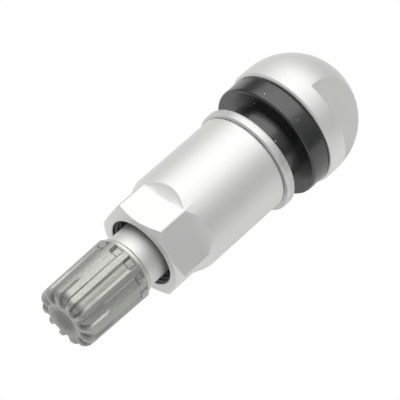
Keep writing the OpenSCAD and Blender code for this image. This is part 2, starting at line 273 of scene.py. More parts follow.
class StageSettings(bpy.types.PropertyGroup):
    """Camera, light and floor"""
    azimuth: angle("Azimuth", "Camera direction; 0 looks along +Y", 131.96)
    elevation: angle("Elevation", "Camera height above the horizon", 52.8)
    distance: length("Distance", "Camera distance from the aim point", 286.4)
    focal_length: FloatProperty(name="Focal length", description="Lens in millimetres on a 36 mm sensor",
                                default=207.0, unit="CAMERA")
    aim: FloatVectorProperty(name="Aim", description="Point at the centre of the view", subtype="XYZ",
                             unit="LENGTH", default=(11.787 * MM, -0.443 * MM, -0.759 * MM))
    key_watts: FloatProperty(name="Key light", description="Power of the soft light overhead", default=1.22,
                             unit="POWER")
    key_way: FloatVectorProperty(name="Key direction", description="Way from the valve to the soft light",
                                 subtype="DIRECTION", default=(-0.30, -0.26, 0.92))
    key_distance: length("Key distance", "Distance of the soft light from the valve", 450)
    key_across: length("Key width", "Size of the soft light across the valve", 740)
    key_along: length("Key length", "Size of the soft light along the valve", 400)
    sky_level: fraction("Sky level", "Brightness of the room overhead", 0.74)
    horizon_level: fraction("Horizon level", "Brightness of the room at the horizon", 0.20)
    floor: colour("Floor", "Pale floor", 0.92, 0.92, 0.92)
    floor_glow: fraction("Floor glow", "Share of plain white that reflections see in the floor", 0.6)
    floor_half: length("Floor half", "Half the width of the floor", 1500)


class ValveSettings(bpy.types.PropertyGroup):
    """All settings of the tyre valve"""
    stem: PointerProperty(type=StemSettings)
    grommet: PointerProperty(type=GrommetSettings)
    washer: PointerProperty(type=WasherSettings)
    nut: PointerProperty(type=NutSettings)
    cap: PointerProperty(type=CapSettings)
    core: PointerProperty(type=CoreSettings)
    finish: PointerProperty(type=FinishSettings)
    stage: PointerProperty(type=StageSettings)


# Node trees

class Wire:
    """An output socket that takes part in Python arithmetic; each operation adds a Math node."""

    def __init__(self, tree, socket):
        self.tree = tree
        self.socket = socket

    def math(self, operation, *values):
        return self.tree.node("ShaderNodeMath", dict(enumerate(values)), {"operation": operation})

    def __add__(self, other):
        return self.math("ADD", self, other)

    def __radd__(self, other):
        return self.math("ADD", other, self)

    def __sub__(self, other):
        return self.math("SUBTRACT", self, other)

    def __rsub__(self, other):
        return self.math("SUBTRACT", other, self)

    def __mul__(self, other):
        return self.math("MULTIPLY", self, other)

    def __rmul__(self, other):
        return self.math("MULTIPLY", other, self)

    def __truediv__(self, other):
        return self.math("DIVIDE", self, other)

    def __gt__(self, other):
        return self.math("GREATER_THAN", self, other)

    def __lt__(self, other):
        return self.math("LESS_THAN", self, other)

    def larger(self, other):
        return self.math("MAXIMUM", self, other)

    def smaller(self, other):
        return self.math("MINIMUM", self, other)

    def hypot(self, other):
        return self.math("POWER", self * self + other * other, 0.5)


class Nodes:
    """A node tree that grows by one method for any node."""

    def __init__(self, tree):
        self.tree = tree

    def node(self, kind, sockets=None, settings=None, output=0):
        """Adds a node with its settings and the values or links of its sockets, and returns an output."""
        made = self.tree.nodes.new(kind)
        for key, value in (settings or {}).items():
            setattr(made, key, value)
        for key, value in (sockets or {}).items():
            if isinstance(value, Wire):
                self.tree.links.new(value.socket, made.inputs[key])
            else:
                made.inputs[key].default_value = value
        return Wire(self, made.outputs[output]) if made.outputs else None

    def axes(self, vector):
        """The three parts of a vector."""
        split = self.node("ShaderNodeSeparateXYZ", {0: vector})
        return [Wire(self, socket) for socket in split.socket.node.outputs]

    def vector(self, x, y, z):
        return self.node("ShaderNodeCombineXYZ", {0: x, 1: y, 2: z})

    def mix(self, factor, first, second):
        """Colour between two colours."""
        return self.node("ShaderNodeMix", {0: factor, 6: first, 7: second}, {"data_type": "RGBA"}, 2)

    def noise(self, vector, grain, detail=2.0):
        """Noise whose features are about as large as grain, in metres."""
        sockets = {"Vector": vector, "Scale": 1 / grain, "Detail": detail}
        return self.node("ShaderNodeTexNoise", sockets)

    def mark(self, name):
        """A mark that the points of a mesh hold: a finish, or a place of painted highlight or shade."""
        return self.node("ShaderNodeAttribute", None, {"attribute_name": name}, "Fac")

    def spread(self, value, low, high):
        """Value from 0 to 1 as it goes from low to high."""
        return self.node("ShaderNodeMapRange", {0: value, 1: low, 2: high})

    def bump(self, height, depth, strength=0.3):
        """Normals of a surface that a height of 1 raises by the depth, in metres."""
        return self.node("ShaderNodeBump", {"Height": height, "Distance": depth, "Strength": strength})


# Finishes

def fresh_nodes(owner):
    """The nodes of a material or a world, emptied."""
    owner.use_nodes = True
    owner.node_tree.nodes.clear()
    return Nodes(owner.node_tree)


def material_of(maker, *details):
    """The material that has the name of its maker, made where it doesn't exist yet.

    The maker gets the nodes and the Object coordinates, and returns the sockets of the shader."""
    name = maker.__name__
    if name in bpy.data.materials:
        return bpy.data.materials[name]
    material = bpy.data.materials.new(name)
    nodes = fresh_nodes(material)
    place = nodes.node("ShaderNodeTexCoord", output="Object")
    shader = nodes.node("ShaderNodeBsdfPrincipled", maker(nodes, place, *details))
    nodes.node("ShaderNodeOutputMaterial", {"Surface": shader})
    return material


def shade(rgba, share):
    """A colour times a share, which may be over 1."""
    return (*(part * share for part in rgba[:3]), 1.0)


def specks(nodes, place, cell, reach, share):
    """1 on small specks: a share of the cells has one, and reach is its radius as a share of a cell."""
    cells = {"Vector": place, "Scale": 1 / cell, "Randomness": 1.0}
    distance = nodes.node("ShaderNodeTexVoronoi", cells)
    chance = nodes.axes(nodes.node("ShaderNodeTexVoronoi", cells, output="Color"))[0]
    return (distance < reach) * (chance < share)


def blasted_aluminium(nodes, place, finish):
    """Blasted and anodised aluminium with a few pits, smoother where milled and dark in a threaded bore."""
    grain = nodes.noise(place, grain=0.07 * MM)
    cloud = nodes.noise(place, grain=4 * MM, detail=3.0)
    pits = specks(nodes, place, cell=2.4 * MM, reach=0.03, share=0.12)
    milled = nodes.mark("milled")
    dark = nodes.mark("bore").larger(pits)
    clean = nodes.mix(cloud, shade(finish.aluminium, 0.96), finish.aluminium)
    base = nodes.mix(dark, clean, shade(finish.aluminium, 0.2))
    roughness = finish.aluminium_roughness + 0.08 * cloud + 0.05 * grain - 0.04 * milled
    bump = nodes.bump(grain * (1 - 0.7 * milled), depth=0.012 * MM)
    return {"Base Color": base, "Roughness": roughness, "Metallic": 1.0, "Normal": bump}


def washer_aluminium(nodes, place, finish):
    """Bare aluminium with the fine rings of a lathe, streaked on its rim and with painted shade on its
    faces.
    """
    x, y, z = nodes.axes(place)
    rings = nodes.noise(nodes.vector(x, y.hypot(z + WASHER_DROP), 0.0), grain=0.10 * MM, detail=3.0)
    streaks = nodes.noise(nodes.vector(0.35 * x, y, z), grain=0.3 * MM, detail=3.0)
    patches = nodes.noise(place, grain=2.2 * MM)
    tone = nodes.spread(0.6 * rings + 0.4 * streaks, 0.36, 0.64)
    worn = nodes.spread(patches, 0.45, 0.7) * (1 - tone)
    clean = nodes.mix(tone, shade(finish.washer, 0.78), finish.washer)
    patched = nodes.mix(0.6 * worn, clean, finish.washer_stain_and_shade)
    # Painted shade darkens the faces of the washer
    base = nodes.mix(0.1 * nodes.mark("face"), patched, finish.washer_stain_and_shade)
    roughness = finish.washer_roughness + 0.14 * tone + 0.06 * patches
    bump = nodes.bump(rings + streaks, depth=0.02 * MM, strength=0.5)
    return {"Base Color": base, "Roughness": roughness, "Metallic": 1.0, "Normal": bump}


def moulded_rubber(nodes, place, finish):
    """Moulded black rubber with a soft sheen and a few specks of dust."""
    grain = nodes.noise(place, grain=0.12 * MM, detail=3.0)
    smear = nodes.spread(nodes.noise(place, grain=2.5 * MM, detail=4.0), 0.45, 0.75)
    dust = specks(nodes, place, cell=1.2 * MM, reach=0.075, share=0.35)
    black = nodes.mix(smear, finish.rubber, shade(finish.rubber, 2.2))
    base = nodes.mix(dust, black, finish.dust)
    roughness = finish.rubber_roughness + 0.10 * smear + 0.06 * grain + 0.3 * dust
    bump = nodes.bump(grain, depth=0.01 * MM)
    return {"Base Color": base, "Roughness": roughness, "Specular IOR Level": 1.0, "Normal": bump}


def cap_painted_shade(nodes, cap, x, radius):
    """Painted shade along the brink of each pocket and in the end notches of the cap, from 0 to 1: colour
    darkened in these recesses where shade falls.
    """
    past_brink = x - (CAP_START + cap.collar_length + cap.pocket_length)
    in_groove = radius < CAP_R - 0.5 * cap.groove_depth
    brink = in_groove * (past_brink > 0.0) * (past_brink < cap.brink_shade_width)
    past_turn = (x - (CAP_END - cap.end_round)).larger(0.0)
    outside_turn = (radius - (0.5 * cap.end_width - cap.end_round)).larger(0.0)
    below_land = cap.end_round - past_turn.hypot(outside_turn)
    sunk = nodes.spread(below_land, cap.notch_depth / 3, cap.notch_depth) * (radius > cap.notch_reach)
    notch = sunk * nodes.spread(x, CAP_END - cap.wall, CAP_END - 0.4 * cap.wall)
    return (0.7 * brink).larger(0.4 * notch)


def cap_plastic(nodes, place, finish, cap):
    """Grey plastic with a fine metal fleck, a painted highlight on its collar, and painted shade in its
    dish, along its pocket brinks and in its end notches.
    """
    fleck = nodes.spread(nodes.noise(place, grain=0.16 * MM, detail=4.0), 0.35, 0.65)
    cloud = nodes.noise(place, grain=2.2 * MM, detail=3.0)
    x, y, z = nodes.axes(place)
    radius = y.hypot(z)
    # Painted shade darkens the dished centre of the closed end, which is also made rougher
    dish = nodes.spread(radius, 0.5 * cap.dish_width, 0.25 * cap.dish_width) * (x > CAP_END - cap.wall)
    flecked = nodes.mix(fleck, shade(finish.cap, 0.85), shade(finish.cap, 1.1))
    # Painted highlight: the collar's colour is lightened to stand in for the light on its rounded lip
    collar_highlighted = nodes.mix(nodes.mark("collar"), flecked, shade(finish.cap, 1.45))
    dish_shaded = nodes.mix(0.6 * dish, collar_highlighted, shade(finish.cap, 0.35))
    # Painted shade darkens the pocket brinks and the end notches
    base = nodes.mix(cap_painted_shade(nodes, cap, x, radius), dish_shaded, shade(finish.cap, 0.2))
    roughness = finish.cap_roughness + 0.08 * cloud + 0.1 * dish
    metallic = 0.8 + 0.15 * fleck
    bump = nodes.bump(fleck, depth=0.01 * MM)
    return {"Base Color": base, "Roughness": roughness, "Metallic": metallic, "Normal": bump}


def turned_metal(nodes, place, rgba, base_roughness):
    """Metal of the core, with faint rings round the axis."""
    x, y, z = nodes.axes(place)
    rings = nodes.noise(nodes.vector(x, y.hypot(z), 0.0), grain=0.08 * MM)
    base = nodes.mix(rings, shade(rgba, 0.85), rgba)
    roughness = base_roughness + 0.1 * rings
    bump = nodes.bump(rings, depth=0.01 * MM)
    return {"Base Color": base, "Roughness": roughness, "Metallic": 1.0, "Normal": bump}


def turned_brass(nodes, place, finish):
    """Brass of the plug, the barrel and the plunger's cup."""
    return turned_metal(nodes, place, finish.brass, finish.brass_roughness)


def bright_steel(nodes, place, finish):
    """Steel of the pin and its spring."""
    return turned_metal(nodes, place, finish.steel, finish.steel_roughness)


def white_gasket(nodes, place, finish):
    """White sealing plastic."""
    cloud = nodes.noise(place, grain=0.8 * MM, detail=3.0)
    base = nodes.mix(cloud, shade(finish.gasket, 0.92), finish.gasket)
    roughness = finish.gasket_roughness + 0.1 * cloud
    return {"Base Color": base, "Roughness": roughness, "Normal": nodes.bump(cloud, depth=0.01 * MM)}


# Outlines

def polar(x, radius, turn):
    """Point at a place on the axis, a radius and a direction from up towards +Y."""
    return Vector((x, radius * math.sin(turn), radius * math.cos(turn)))


def between(low, high, share):
    return low + (high - low) * share


def bend(start, corner, end, steps=3):
    """Points of a curve from start to end that is pulled towards the corner between them."""
    shares = [k / steps for k in range(steps + 1)]
    return [start.lerp(corner, s).lerp(corner.lerp(end, s), s) for s in shares]


def rounded(corners):
    """Points of (place, radius) along corners of (place, radius, rounding); the two ends stay sharp."""
    points = [Vector(corners[0][:2])]
    for before, corner, after in zip(corners, corners[1:], corners[2:]):
        here = Vector(corner[:2])
        back = Vector(before[:2]) - here
        ahead = Vector(after[:2]) - here
        start = here + back.normalized() * min(corner[2], back.length * ROUND_SHARE)
        end = here + ahead.normalized() * min(corner[2], ahead.length * ROUND_SHARE)
        points += bend(start, here, end) if corner[2] else [here]
    return points + [Vector(corners[-1][:2])]


def even_angles(half, steps, *extra):
    """Angles from -half to half in even steps, with extra ones on both sides."""
    angles = [between(-half, half, k / steps) for k in range(steps + 1)]
    for value in extra:
        angles += [-value, value]
    return sorted(angles)


# Meshes

def put_in_scene(name, data):
    """An object at the origin that holds the given data."""
    made = bpy.data.objects.new(name, data)
    bpy.context.scene.collection.objects.link(made)
    return made


def set_mark(mesh, mark, values):
    """Writes a mark on the points of a mesh, which the material reads."""
    flags = mesh.attributes.new(mark, "FLOAT", "POINT")
    flags.data.foreach_set("value", values)


def sector_object(name, columns, marks):
    """Object of one sector: columns of points that each go once round the outline.

    marks holds, by name, the places in a column that take that mark."""
    depth = len(columns[0])
    faces = []
    for c in range(len(columns) - 1):
        for k in range(depth):
            ahead = (k + 1) % depth
            faces.append((c * depth + k, c * depth + ahead, (c + 1) * depth + ahead, (c + 1) * depth + k))
    mesh = bpy.data.meshes.new(name)
    mesh.from_pydata([point for column in columns for point in column], [], faces)
    for mark, places in marks.items():
        set_mark(mesh, mark, [float(k in places) for _ in columns for k in range(depth)])
    return put_in_scene(name, mesh)


def bake_modifiers(piece):
    """Gives the piece the mesh that its modifiers make, and removes them."""
    graph = bpy.context.evaluated_depsgraph_get()
    old = piece.data
    mesh = bpy.data.meshes.new_from_object(piece.evaluated_get(graph))
    piece.modifiers.clear()
    piece.data = mesh
    mesh.name = piece.name
    bpy.data.meshes.remove(old)


def smooth_faces(piece):
    """Turns the faces outwards and shades the mesh smooth, with flats that stay flat."""
    shape = bmesh.new()
    shape.from_mesh(piece.data)
    bmesh.ops.remove_doubles(shape, verts=shape.verts, dist=JOIN_GAP)
    bmesh.ops.dissolve_degenerate(shape, edges=shape.edges, dist=JOIN_GAP)
    bmesh.ops.recalc_face_normals(shape, faces=shape.faces)
    shape.to_mesh(piece.data)
    shape.free()
    piece.data.shade_smooth()
    piece.data.set_sharp_from_angle(angle=SHARP_ANGLE)
    weighted = piece.modifiers.new("flat_faces", "WEIGHTED_NORMAL")
    weighted.keep_sharp = True
    bake_modifiers(piece)


def new_tree(name, inputs):
    """A geometry tree with named inputs, its nodes and the wires of its inputs."""
    tree = bpy.data.node_groups.new(name, "GeometryNodeTree")
    for label, kind in inputs.items():
        tree.interface.new_socket(label, in_out="INPUT", socket_type=kind)
    tree.interface.new_socket("Geometry", in_out="OUTPUT", socket_type="NodeSocketGeometry")
    nodes = Nodes(tree)
    source = tree.nodes.new("NodeGroupInput")
    return tree, nodes, {label: Wire(nodes, source.outputs[label]) for label in inputs}


def end_tree(nodes, geometry, material):
    """Ends a geometry tree in real faces of one material."""
    real = nodes.node("GeometryNodeRealizeInstances", {"Geometry": geometry})
    joined = nodes.node("GeometryNodeMergeByDistance", {"Geometry": real, "Distance": JOIN_GAP})
    painted = nodes.node("GeometryNodeSetMaterial", {"Geometry": joined, "Material": material})
    nodes.node("NodeGroupOutput", {"Geometry": painted})


def copies_tree():
    """Tree that repeats a sector round the X axis and joins the copies."""
    inputs = {"Sector": "NodeSocketGeometry", "Copies": "NodeSocketInt", "Material": "NodeSocketMaterial"}
    tree, nodes, given = new_tree("copies_round_axis", inputs)
    spots = nodes.node("GeometryNodeMeshLine", {"Count": given["Copies"], "Offset": (0, 0, 0)})
    index = nodes.node("GeometryNodeInputIndex")
    turn = nodes.node("FunctionNodeAxisAngleToRotation",
                      {"Axis": (1, 0, 0), "Angle": index * TURN / given["Copies"]})
    ring = nodes.node("GeometryNodeInstanceOnPoints",
                      {"Points": spots, "Instance": given["Sector"], "Rotation": turn})
    end_tree(nodes, ring, given["Material"])
    return tree


def helix_inputs(*sizes):
    """Inputs of a tree on a helix, with more sizes of its own."""
    inputs = {label: "NodeSocketFloat" for label in ("Start", "Length", "Turns", "Radius", *sizes)}
    inputs["Steps"] = "NodeSocketInt"
    inputs["Material"] = "NodeSocketMaterial"
    return inputs


def helix_path(nodes, given, first_angle):
    """Curve on a right-hand helix round the X axis, the share along it, and its way out along +Y and +Z."""
    line = nodes.node("GeometryNodeCurvePrimitiveLine")
    points = nodes.node("GeometryNodeResampleCurve", {"Curve": line, "Count": given["Steps"]})
    share = nodes.node("GeometryNodeSplineParameter", output="Factor")
    turn = first_angle - share * given["Turns"] * TURN
    side = turn.math("SINE", turn)
    up = turn.math("COSINE", turn)
    along = given["Start"] + share * given["Length"]
    spot = nodes.vector(along, side * given["Radius"], up * given["Radius"])
    path = nodes.node("GeometryNodeSetPosition", {"Geometry": points, "Position": spot})
    return path, share, side, up


def helix_tree():
    """Tree that sweeps a four-sided ridge along a helix."""
    inputs = helix_inputs("First Angle", "Foot", "Crest", "Height", "Run Out")
    tree, nodes, given = new_tree("ridge_on_helix", inputs)
    helix, share, side, up = helix_path(nodes, given, given["First Angle"])
    path = nodes.node("GeometryNodeSetCurveNormal",
                      {"Curve": helix, "Normal": nodes.vector(0.0, side, up)}, {"mode": "FREE"})
    run_out = share.smaller(1 - share) * given["Turns"] / given["Run Out"]
    scale = (run_out + THREAD_STUB).smaller(1.0)
    foot = given["Foot"] / 2
    crest = given["Crest"] / 2
    outline = ((0.0, foot), (given["Height"], crest), (given["Height"], 0 - crest), (0.0, 0 - foot))
    corners = {"Point %d" % k: nodes.vector(*spot, 0.0) for k, spot in enumerate(outline, 1)}
    profile = nodes.node("GeometryNodeCurvePrimitiveQuadrilateral", corners, {"mode": "POINTS"})
    ridge = nodes.node("GeometryNodeCurveToMesh",
                       {"Curve": path, "Profile Curve": profile, "Scale": scale, "Fill Caps": True})
    end_tree(nodes, ridge, given["Material"])
    return tree


def spring_tree():
    """Tree that sweeps round wire along a helix."""
    tree, nodes, given = new_tree("wire_on_helix", helix_inputs("Wire"))
    path = helix_path(nodes, given, 0)[0]
    profile = nodes.node("GeometryNodeCurvePrimitiveCircle",
                         {"Resolution": WIRE_SIDES, "Radius": given["Wire"] / 2})
    wire = nodes.node("GeometryNodeCurveToMesh",
                      {"Curve": path, "Profile Curve": profile, "Fill Caps": True})
    end_tree(nodes, wire, given["Material"])
    return tree


def run_tree(piece, tree, values):
    """Runs a geometry tree on the piece with the given inputs and keeps the plain mesh."""
    modifier = piece.modifiers.new(tree.name, "NODES")
    modifier.node_group = tree
    for item in tree.interface.items_tree:
        if item.in_out == "INPUT" and item.name in values:
            modifier[item.identifier] = values[item.name]
    bake_modifiers(piece)
    smooth_faces(piece)
    return piece


def spin(name, columns, copies, material, marks):
    """Piece made of copies of one sector round the axis."""
    tree = bpy.data.node_groups.get("copies_round_axis") or copies_tree()
    return run_tree(sector_object(name, columns, marks), tree, {"Copies": copies, "Material": material})


def turned(name, outline, material, marks, copies=12, steps=12):
    """Piece turned from a closed outline of (place, radius) points."""
    half = TURN / copies / 2
    columns = [[polar(*point, turn) for point in outline] for turn in even_angles(half, steps)]
    return spin(name, columns, copies, material, marks)


def thread(name, material, start, end, radius, height, pitch, offset=0.0):
    """Helical ridge from start to end; a negative height points inwards, offset is a share of the pitch."""
    turns = (end - start) / pitch
    values = {
        "Start": start, "Length": end - start, "Turns": turns, "Radius": radius,
        "First Angle": (offset - start / pitch) % 1.0 * TURN, "Foot": THREAD_FOOT * pitch,
        "Crest": THREAD_CREST * pitch, "Height": height, "Run Out": THREAD_RUN_OUT,
        "Steps": int(turns * THREAD_STEPS), "Material": material,
    }
    made = put_in_scene(name, bpy.data.meshes.new(name))
    return run_tree(made, bpy.data.node_groups.get("ridge_on_helix") or helix_tree(), values)


def seat(piece, body, slot, *nodes):
    """Rides the piece on its body, in place of CAD nodes; the slot is not used."""
    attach(piece, body)
    if nodes:
        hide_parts(*nodes)


def paint(node, material):
    """Gives a CAD node that stays a material."""
    slots = frame["nodes"][node].data.materials
    slots.clear()
    slots.append(material)


# Pieces

def stem_columns(stem):
    """Columns of half the stem about one flat, and the marks of the finish along them."""
    head_face = FLANGE_BACK - CONTACT_GAP
    dome_start = head_face - stem.rim_length
    flat_start = dome_start - stem.flat_setback
    reach = stem.flat_width / 2
    taper = math.tan(stem.flat_taper)
    shoulder_r = math.sqrt(HEAD_R ** 2 - stem.flat_setback ** 2)
    flat_half = math.acos(reach / shoulder_r)
    mouth_tilt = math.acos((stem.hole_width / 2 + stem.hole_sink) / HEAD_R)
    shoulder_tilt = math.asin(stem.flat_setback / HEAD_R)

    def dome(tilt):
        return Vector((dome_start - HEAD_R * math.sin(tilt), HEAD_R * math.cos(tilt)))

    def flat_edge(turn):
        """Tilt at which the dome meets the flat, in a direction from the flat's own."""
        lean = math.atan2(taper, math.cos(turn))
        depth = (reach + taper * stem.flat_setback) / math.hypot(taper, math.cos(turn))
        return lean + math.acos(min(depth / HEAD_R, 1.0))

    shank = rounded(stem_corners(stem, head_face))
    dome_steps, flat_steps, band_steps, turn_steps = 40, 8, 5, 72
    # Turn from the side edge of a flat to the next column inside it
    edge_turn = math.radians(0.8)
    columns = []
    for turn in even_angles(TURN / HEAD_FLATS / 2, turn_steps, flat_half, flat_half - edge_turn):
        milled = abs(turn) < flat_half
        edge_tilt = flat_edge(turn) if milled else shoulder_tilt
        edge = dome(edge_tilt)
        foot_r = reach / math.cos(turn) if milled else shoulder_r
        edge_round = min(stem.edge_round, (flat_start - edge.x) * ROUND_SHARE)
        lip_round = min(stem.edge_round, (shoulder_r - foot_r) * ROUND_SHARE)
        last_tilt = edge_tilt + edge_round / HEAD_R
        flat_last = Vector((flat_start, foot_r))
        flat_first = edge + (flat_last - edge).normalized() * edge_round
        lip = Vector((flat_start, shoulder_r))
        outline = [dome(between(mouth_tilt, last_tilt, k / dome_steps)) for k in range(dome_steps)]
        outline += bend(dome(last_tilt), edge, flat_first)
        first_milled = len(outline) - 1
        outline += [flat_first.lerp(flat_last, k / flat_steps) for k in range(1, flat_steps + 1)]
        last_milled = len(outline) - 1
        outline += bend(lip - Vector((0, lip_round)), lip, dome(shoulder_tilt - lip_round / HEAD_R))
        outline += [dome(between(shoulder_tilt, 0, k / band_steps)) for k in range(1, band_steps + 1)]
        outline += shank
        columns.append([polar(*point, stem.flat_turn + turn) for point in outline])
    return columns, {"milled": range(first_milled, last_milled + 1)}


def stem_corners(stem, head_face):
    """Corners of the stem from the head's rim along the shank to the tip, and back through the bore."""
    thread_start = WASHER_START
    thread_end = thread_start + stem.thread_length
    thread_core = stem.thread_width / 2 - stem.thread_depth
    neck_end = CAP_START - stem.mouth_gap
    cap_core = stem.cap_thread_width / 2 - stem.thread_depth
    seat_start = STEM_TIP - stem.core_depth
    seat_end = seat_start - stem.seat_depth
    chamber_end = seat_end - stem.chamber_depth
    hole_end = STEM_START + stem.hole_depth
    core_r = stem.core_width / 2
    chamber_r = stem.chamber_width / 2
    air_r = stem.air_width / 2
    hole_r = stem.hole_width / 2
    return [
        (head_face - stem.front_chamfer * 2, HEAD_R, 0),
        (head_face - stem.front_chamfer, HEAD_R, stem.front_round),
        (head_face, HEAD_R - stem.front_chamfer, stem.front_round),
        (head_face, stem.root_width / 2, 0),
        (thread_start, stem.root_width / 2, 0),
        (thread_start + stem.thread_run, thread_core, stem.thread_round),
        (thread_end - stem.thread_run, thread_core, stem.thread_round),
        (thread_end, stem.neck_width / 2, stem.thread_round),
        (neck_end, stem.neck_width / 2, stem.neck_round),
        (neck_end, cap_core, 0),
        (STEM_TIP - stem.tip_chamfer, cap_core, stem.tip_round),
        (STEM_TIP, cap_core - stem.tip_chamfer, stem.tip_round),
        (STEM_TIP, core_r, stem.front_round),
        (seat_start, core_r, 0),
        (seat_end, chamber_r, 0),
        (chamber_end, chamber_r, 0),
        (chamber_end, air_r, 0),
        (hole_end, air_r, 0),
        (hole_end, hole_r, 0),
        (STEM_START + stem.hole_sink * 2, hole_r, 0),
    ]


def nut_columns(nut):
    """Columns of a sixth of the nut about one flat, and the marks of the finish along them."""
    reach = nut.hex_width / 2
    tip_r = reach - nut.tip_inset
    slope = Vector((math.sin(nut.lead_angle), -math.cos(nut.lead_angle)))
    hex_start = NUT_END - nut.hex_length
    run_out = 1 / math.tan(nut.hex_slope)
    bore_r = nut.bore / 2
    relief_r = nut.relief / 2
    relief_end = NUT_START + nut.relief_depth
    front = rounded([
        (NUT_START, relief_r, 0),
        (NUT_START, SLEEVE_R - nut.end_chamfer, nut.end_round),
        (NUT_START + nut.end_chamfer, SLEEVE_R, nut.end_round),
        (NUT_START + nut.end_chamfer * 2, SLEEVE_R, 0),
    ])
    # Ring of the end face next to the lead chamfer
    face_edge = 0.2 * MM
    back = rounded([
        (NUT_END, tip_r - face_edge, 0),
        (NUT_END, bore_r + nut.mouth_sink, nut.mouth_round),
        (NUT_END - nut.mouth_sink, bore_r, nut.mouth_round),
        (relief_end, bore_r, 0),
        (relief_end, relief_r, 0),
    ])
    mouth = next(point for point in back if point.y <= bore_r + JOIN_GAP)
    corner = math.acos(reach / SLEEVE_R)
    half = TURN / HEX_SIDES / 2
    sleeve_steps, flat_steps, lead_steps, turn_steps = 6, 6, 3, 24
    # Turn from the side edge of a flat to the next column inside it
    edge_turn = math.radians(0.9)
    columns = []
    for turn in even_angles(half, turn_steps, corner, corner - edge_turn):
        flat_r = min(reach / math.cos(turn), SLEEVE_R)
        rise = max(SLEEVE_R * math.cos(turn) - reach, 0)
        lip = Vector((hex_start - rise * run_out, SLEEVE_R))
        foot = Vector((hex_start, flat_r))
        slope_way = (foot - lip).normalized()
        lip_round = min(nut.edge_round, (foot - lip).length * ROUND_SHARE)
        lead_len = (flat_r - tip_r) / math.cos(nut.lead_angle)
        edge_round = min(nut.edge_round, lead_len * ROUND_SHARE)
        edge = Vector((NUT_END - lead_len * slope.x, flat_r))
        sleeve_last = lip - Vector((lip_round, 0))
        tip = Vector((NUT_END, tip_r))
        lead_first = edge + slope * edge_round
        lead_last = tip - slope * min(nut.tip_round, lead_len * ROUND_SHARE)
        flat_last = edge - Vector((edge_round, 0))
        outline = list(front)
        outline += [front[-1].lerp(sleeve_last, k / sleeve_steps) for k in range(1, sleeve_steps)]
        outline += bend(sleeve_last, lip, lip + slope_way * lip_round)
        first_milled = len(outline) - 1
        outline += [foot.lerp(flat_last, k / flat_steps) for k in range(flat_steps)]
        outline += bend(flat_last, edge, lead_first)
        last_milled = len(outline) - 2
        outline += [lead_first.lerp(lead_last, k / lead_steps) for k in range(1, lead_steps)]
        outline += bend(lead_last, tip, tip - Vector((0, nut.tip_round)))
        first_bore = len(outline) + back.index(mouth)
        outline += back
        columns.append([polar(*point, nut.hex_turn + half + turn) for point in outline])
    return columns, {"milled": range(first_milled, last_milled + 1), "bore": range(first_bore, len(outline))}


def cap_rows(cap):
    """Rows of a point on a land, one on the floor below it and the rounding of the land's edge there.

    They go from the bore of the cap over its mouth and its side to the middle of the closed end."""
    land_start = CAP_START + cap.collar_length
    collar_r = cap.collar_width / 2
    bore_r = cap.bore / 2
    bore_end = CAP_END - cap.wall
    end_r = cap.end_width / 2
    dish_r = cap.dish_width / 2
    soft = cap.land_round
    pocket_r = CAP_R - cap.groove_depth - cap.pocket_depth
    pocket_end = land_start + cap.pocket_length
    land_turn = Vector((CAP_END - cap.end_round, end_r - cap.end_round))
    floor_turn = Vector((CAP_END - cap.notch_depth - cap.notch_round,
                         end_r - cap.groove_depth - cap.notch_round))
    side_steps, turn_steps, notch_steps, dish_steps = 8, 12, 6, 12

    def land(x):
        return Vector((x, between(CAP_R, end_r, (x - land_start) / (land_turn.x - land_start))))

    def floor(x, depth):
        return land(x) - Vector((0, depth))

    plain = rounded([
        (bore_end, 0, 0),
        (bore_end, bore_r, cap.bore_round),
        (CAP_START, bore_r, cap.mouth_round),
        (CAP_START, collar_r, cap.collar_round),
        (land_start - cap.line_width * 2, collar_r, cap.line_round),
        (land_start - cap.line_width, collar_r - cap.line_depth, 0),
        (land_start, collar_r - cap.line_depth, 0),
    ])
    rows = [(point, point, soft) for point in plain]
    land_foot = Vector((land_start, CAP_R - soft))
    land_corner = Vector((land_start, CAP_R))
    for point in bend(land_foot, land_corner, land(land_start + soft)):
        rows.append((point, Vector((point.x, pocket_r)), soft))
    brink = pocket_end - cap.floor_round
    rows.append((land(brink), floor(brink, cap.groove_depth + cap.pocket_depth), soft))
    for k in range(side_steps):
        land_x = between(pocket_end, land_turn.x, k / side_steps)
        floor_x = between(pocket_end, floor_turn.x, k / side_steps)
        rows.append((land(land_x), floor(floor_x, cap.groove_depth), soft))
    for k in range(turn_steps + 1):
        tilt = math.pi / 2 * k / turn_steps
        way = Vector((math.sin(tilt), math.cos(tilt)))
        edge = between(soft, cap.knuckle_round, min(2 * k / turn_steps, 1))
        rows.append((land_turn + way * cap.end_round, floor_turn + way * cap.notch_round, edge))
    for k in range(1, notch_steps + 1):
        share = k / notch_steps
        sunk = cap.notch_depth * (1 + math.cos(math.pi * share)) / 2
        top = Vector((CAP_END, between(land_turn.y, cap.notch_reach, share)))
        base = Vector((CAP_END - sunk, between(floor_turn.y, cap.notch_reach, share)))
        rows.append((top, base, cap.knuckle_round))
    for k in range(dish_steps + 1):
        r = dish_r * (1 - k / dish_steps)
        hollow = Vector((CAP_END - cap.dish_depth * (1 + math.cos(math.pi * r / dish_r)) / 2, r))
        rows.append((hollow, hollow, soft))
    return rows


